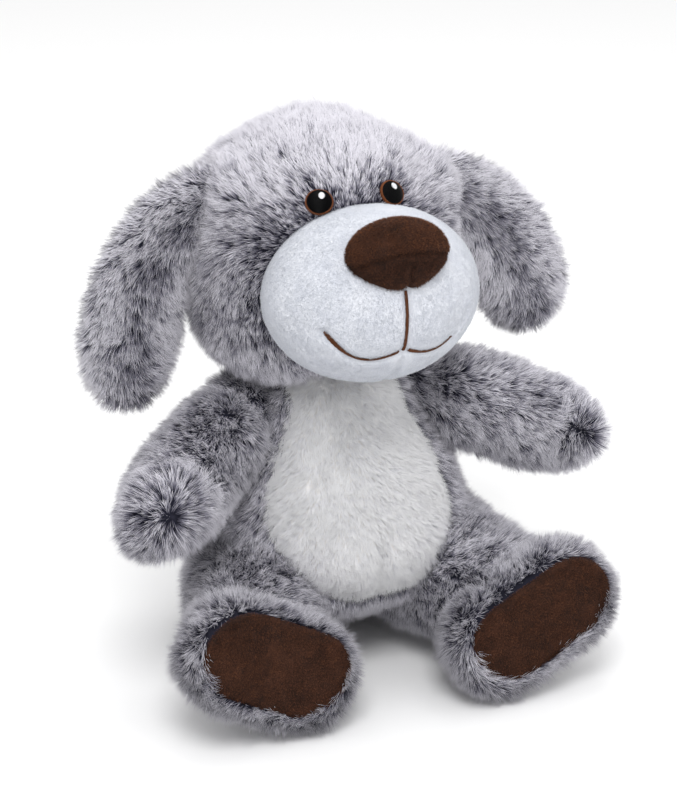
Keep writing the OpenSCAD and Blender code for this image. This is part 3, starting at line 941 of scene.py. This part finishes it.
def build_muzzle():
    muzzle = muzzle_skin.object("muzzle_cloth", MUZZLE_PLUSH)
    nodes = ("muzzle_panel_left", "muzzle_panel_right", "muzzle_stuffing")
    place(muzzle, "head", "muzzle_plush", *nodes, fill=0.95)
    outside_skull = lambda p: egg(p, SKULL, (SKULL_W, SKULL_R, SKULL_R)) > -1 * MM
    fuzz = pile("muzzle_fuzz", muzzle_skin, MUZZLE_FUZZ, 251, away_from(NOSE), per_mm2=5,
                length=1.3 * MM, width=0.24 * MM, keep=outside_skull, lean=48, bend=20,
                tuft=1.2 * MM, gather=0.15, sink=0.3 * MM)
    place(fuzz, "head", "muzzle_plush")
    nose = nose_skin.object("nose_cloth", BROWN_PLUSH)
    place(nose, "head", "brown_plush", "nose_top_panel", "nose_front_panel", "nose_stuffing", fill=0.95)
    in_front = lambda p: muzzle_shape(p, -1 * MM) > 0
    fuzz = pile("nose_fuzz", nose_skin, BROWN_FUZZ, 261, along_nap((0.2, 0, -1)), per_mm2=7,
                length=1.6 * MM, width=0.24 * MM, keep=in_front, lean=30, bend=20,
                tuft=1.2 * MM, gather=0.35, shade=nose_painted_light_and_shade, sink=0.3 * MM)
    place(fuzz, "head", "brown_plush")


def stitches(path, across, out, half_width, lift):
    """Short arched threads laid across a path: arrays of points, directions across and outwards."""
    u = np.linspace(-1, 1, 7)
    arch = np.sqrt(1 - 0.9 * u**2)
    half = (half_width[:, None] * u[None, :])[..., None]
    return path[:, None] + half * across[:, None] + lift * arch[None, :, None] * out[:, None]


def build_mouth():
    def embroider(name, directions, half_width, node):
        path = cast(muzzle_field, MUZZLE, directions)
        along = unit(np.gradient(path, axis=0))
        out = unit(path - MUZZLE)
        lines = stitches(path, unit(np.cross(along, out)), out, half_width, 0.9 * MM)
        place(threads(name, lines, 0.3 * MM, BROWN_THREAD), "head", "brown_thread", node)

    line = muzzle_direction(0.0, np.linspace(MOUTH_TOP, MOUTH_LOW, 66))
    embroider("mouth_stitching", line, np.full(66, 0.8 * MM), "mouth_line")
    t = np.linspace(0, 1, 92)
    for side, s in SIDES.items():
        near_end = 0.75 * np.exp(-((t - 0.9) / 0.16) ** 2) * (s < 0)
        near_start = 0.35 * np.exp(-(t / 0.2) ** 2) * (s > 0)
        swell = 0.55 + near_end + near_start
        taper = np.sqrt(np.clip(1 - ((t - 0.94).clip(0) / 0.06) ** 2, 0.1, 1))
        reach = 1.0 if s < 0 else 0.72
        directions = smile_direction(t * reach, s)
        embroider(f"smile_stitching_{side}", directions, swell * taper * MM, f"smile_{side}")


def build_eyes():
    for side in SIDES:
        centre = eye_centre(side)
        out = unit(centre - SKULL)
        right = unit(np.cross(UP, -out)) * -1
        up = np.cross(out, right)
        base = SKULL + out * (SKULL_R + 2.2 * MM)
        wide, tall = 6.2 * MM, 5.8 * MM

        def dome(x, y):
            """A point of the eye's low dome, x and y from -1 to 1."""
            h = np.sqrt(np.clip(1.15 - x**2 - y**2, 0, 2)) * 2.4 * MM
            return base + (x * wide)[..., None] * right + (y * tall)[..., None] * up + h[..., None] * out

        y = np.linspace(-0.96, 0.96, 30)
        reach = np.sqrt(1 - y**2)
        x = np.linspace(-1, 1, 11)[None, :] * reach[:, None]
        rows = dome(x, y[:, None] * np.ones_like(x))
        pupil = threads(f"eye_pupil_{side}_satin", rows, 0.26 * MM, BLACK_THREAD)
        place(pupil, "head", "black_thread", f"eye_pupil_{side}")
        a = np.linspace(0, 2 * math.pi, 84, endpoint=False)
        r = np.linspace(0.97, 1.1, 5)
        ring = dome(np.cos(a)[:, None] * r, np.sin(a)[:, None] * r)
        ring += (0.5 * MM * np.sin(np.linspace(0, math.pi, 5)))[None, :, None] * out
        outline = threads(f"eye_outline_{side}_satin", ring, 0.22 * MM, COPPER_THREAD)
        place(outline, "head", "copper_thread", f"eye_outline_{side}")
        v = np.linspace(-1, 1, 9)
        x = 0.18 + np.linspace(-1, 1, 6)[None, :] * (0.26 * np.sqrt(1 - 0.8 * v**2))[:, None]
        spark = dome(x, 0.45 + 0.26 * v[:, None] * np.ones_like(x)) + 0.45 * MM * out
        light = threads(f"eye_highlight_{side}_satin", spark, 0.2 * MM, WHITE_THREAD)
        place(light, "head", "white_thread", f"eye_highlight_{side}")


def build_arms():
    for number, side in enumerate(SIDES):
        skin = arm_skin(side)
        body = f"arm_{side}"
        nodes = (f"arm_upper_{side}", f"arm_lower_{side}", f"arm_stuffing_{side}")
        place(skin.object(f"arm_backing_{side}", GREY_BACKING), body, "grey_fur", *nodes, fill=0.85)
        nap, swirl = arm_nap(side)
        lean = lambda p, swirl=swirl: 36 - 22 * np.exp(-((p - swirl) ** 2).sum(axis=1) / (15 * MM) ** 2)
        fur = pile(f"arm_pile_{side}", skin, GREY_PILE, 301 + 10 * number, nap, lean=lean)
        place(fur, body, "grey_fur")


def build_legs():
    for number, side in enumerate(SIDES):
        skin = leg_skin(side)
        body = f"leg_{side}"
        sole, foot, out = foot_places(side)
        nodes = (f"leg_outer_{side}", f"leg_inner_{side}", f"leg_stuffing_{side}")
        place(skin.object(f"leg_backing_{side}", GREY_BACKING), body, "grey_fur", *nodes, fill=0.9)
        ends = [sole + k * out for k in (-1, 1)]

        def keep(p, ends=ends, sole=sole):
            flat = p * (1, 0, 1) + (0, sole[1], 0)
            return (rod(flat, ends[0], ends[1], SOLE_R + 0.2 * MM) > 0) | (p[:, 1] > sole[1] + 12 * MM)

        nap = along_nap(foot - thigh_middle(side))
        lean = lambda p, foot=foot: 32 + 14 * smoothstep(-p[:, 1], -foot[1], -foot[1] + 14 * MM)
        fur = pile(f"leg_pile_{side}", skin, GREY_PILE, 331 + 10 * number, nap, keep=keep, lean=lean)
        place(fur, body, "grey_fur")
        pad = sole_skin(side)
        cloth = pad.object(f"sole_cloth_{side}", BROWN_PLUSH)
        place(cloth, body, "brown_plush", f"foot_pad_{side}", fill=0.7)
        front = lambda p, sole=sole: p[:, 1] < sole[1] + 5 * MM
        fuzz = pile(f"sole_fuzz_{side}", pad, BROWN_FUZZ, 361 + 10 * number,
                    along_nap((0.3, 0, -1)), per_mm2=6, length=1.5 * MM, width=0.26 * MM,
                    keep=front, lean=35, bend=20, tuft=1.3 * MM, gather=0.35, sink=0.3 * MM)
        place(fuzz, body, "brown_plush")


def build_ears():
    for number, side in enumerate(SIDES):
        skin = ear_skin(side)
        ear = skin.object(f"ear_backing_{side}", GREY_BACKING)
        fur = pile(f"ear_pile_{side}", skin, GREY_PILE, 401 + 10 * number, ear_nap(side), lean=44,
                   length=9 * MM, shade=ear_shade(side))
        for obj in (ear, fur):
            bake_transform(obj)
        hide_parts(f"ear_front_{side}", f"ear_back_{side}", f"ear_wadding_{side}")


def build_tail():
    skin = tail_skin()
    place(skin.object("tail_backing", GREY_BACKING), "tail", "grey_fur", "tail_upper", "tail_lower",
          "tail_stuffing", fill=0.8)
    fur = pile("tail_pile", skin, GREY_PILE, 451, along_nap((0, 0.9, -0.5)), shade=0.1)
    place(fur, "tail", "grey_fur")


# ---------------------------------------------------------------- studio
def build_stage():
    bpy.ops.mesh.primitive_plane_add(size=8)
    floor = bpy.context.object
    floor.name = "floor"
    m = Nodes("pale_floor", roughness=0.9)
    m.shader.inputs["Base Color"].default_value = (0.93, 0.93, 0.93, 1)
    floor.data.materials.append(m.material)

    def lamp(name, spot, size, power):
        data = bpy.data.lights.new(name, "AREA")
        data.size = size
        data.energy = power
        obj = bpy.data.objects.new(name, data)
        obj.location = spot
        aim = Vector((0, 0, 0.12)) - Vector(spot)
        obj.rotation_euler = aim.to_track_quat("-Z", "Y").to_euler()
        bpy.context.collection.objects.link(obj)

    lamp("key", (-0.5, -1.1, 1.7), 0.8, 20)
    lamp("fill", (1.2, -1.3, 0.7), 1.4, 5)
    lamp("top", (0.1, 0.4, 1.8), 1.2, 9)
    world = bpy.data.worlds.new("studio")
    bpy.context.scene.world = world
    world.use_nodes = True
    background = world.node_tree.nodes["Background"]
    background.inputs["Color"].default_value = (1, 1, 1, 1)
    background.inputs["Strength"].default_value = 0.78
    bpy.context.scene.view_settings.view_transform = "Standard"


VIEW_W = 0.3385                                 # metres across the view at the dog
SENSOR_W = 36                                   # of the camera, in millimetres


def build_camera():
    """The photograph's angle, framed round the dog's middle."""
    azimuth, elevation, distance = math.radians(-24), math.radians(22), 1.3
    back = np.array([math.sin(azimuth) * math.cos(elevation), -math.cos(azimuth) * math.cos(elevation),
                     math.sin(elevation)])
    right = np.array([math.cos(azimuth), math.sin(azimuth), 0])
    aim = 0.14 * UP + right * 4.25 * MM - np.cross(back, right) * 10 * MM
    data = bpy.data.cameras.new("camera")
    data.sensor_fit = "HORIZONTAL"
    data.sensor_width = SENSOR_W
    data.lens = SENSOR_W * distance / VIEW_W
    obj = bpy.data.objects.new("camera", data)
    obj.location = aim + back * distance
    obj.rotation_euler = Vector(-back).to_track_quat("-Z", "Y").to_euler()
    bpy.context.collection.objects.link(obj)
    bpy.context.scene.camera = obj


build_camera()
build_stage()
build_torso()
build_head()
build_muzzle()
build_mouth()
build_eyes()
build_arms()
build_legs()
build_ears()
build_tail()
